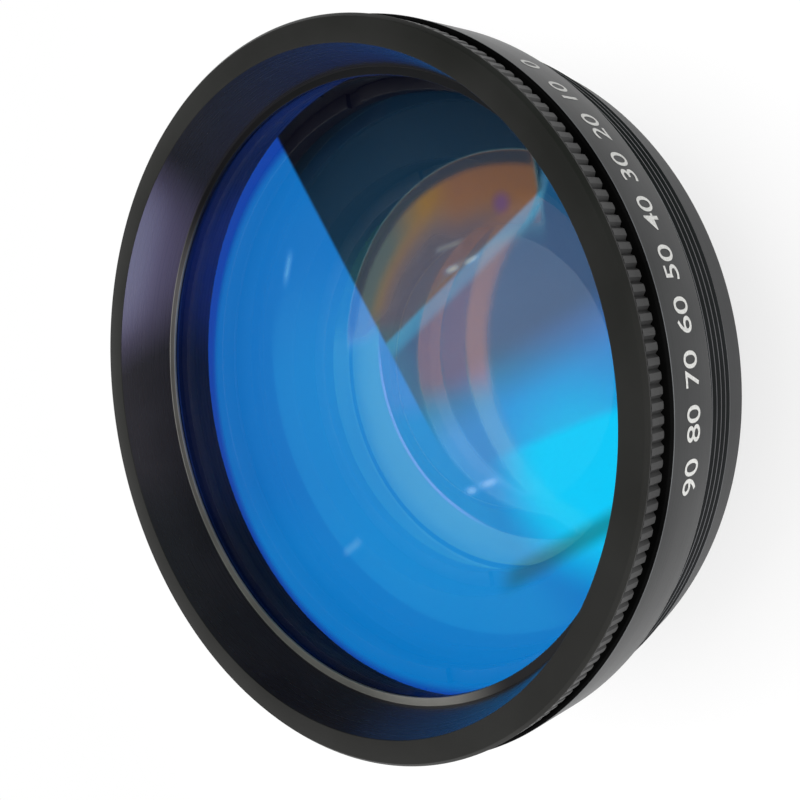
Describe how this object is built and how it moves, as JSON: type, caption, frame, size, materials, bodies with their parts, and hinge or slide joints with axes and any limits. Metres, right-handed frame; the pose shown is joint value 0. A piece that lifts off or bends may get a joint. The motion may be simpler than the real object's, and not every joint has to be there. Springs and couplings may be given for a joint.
{
  "type": "f theta scan lens",
  "caption": "Laser scan lens: black anodised stepped barrel with a mounting thread, coated lenses inside, and a knurled front ring that holds a protective window.",
  "frame": {"origin": "centre of the rear face, on the optical axis, which is the middle of the bottom of the whole part", "axes": "+Z along the optical axis from the rear face towards the mouth, +X and +Y across the barrel"},
  "size_m": [0.087, 0.087, 0.044],
  "materials": {
    "barrel_anodised": "satin black anodised aluminium",
    "ring_anodised": "matte black anodised aluminium",
    "inner_anodised": "dull black anodised aluminium",
    "coated_window": "flat glass with a blue anti-reflection coating",
    "lens_glass": "polished glass with an anti-reflection coating",
    "black_rubber": "matte black rubber",
    "shim_brass": "thin rolled brass",
    "screw_steel": "blackened steel",
    "scale_white": "white filled engraving"
  },
  "bodies": {
    "root": {"barrel": "barrel_anodised", "front_ring": "ring_anodised", "front_ring_seal": "black_rubber", "protective_window": "coated_window", "window_gasket": "black_rubber", "window_retainer": "inner_anodised", "front_lens": "lens_glass", "front_lens_seal": "black_rubber", "front_lens_retainer": "inner_anodised", "middle_lens": "lens_glass", "middle_lens_retainer": "inner_anodised", "rear_lens": "lens_glass", "rear_lens_shim": "shim_brass", "rear_lens_retainer": "inner_anodised", "retainer_set_screws": "screw_steel"}
  },
  "joints": []
}
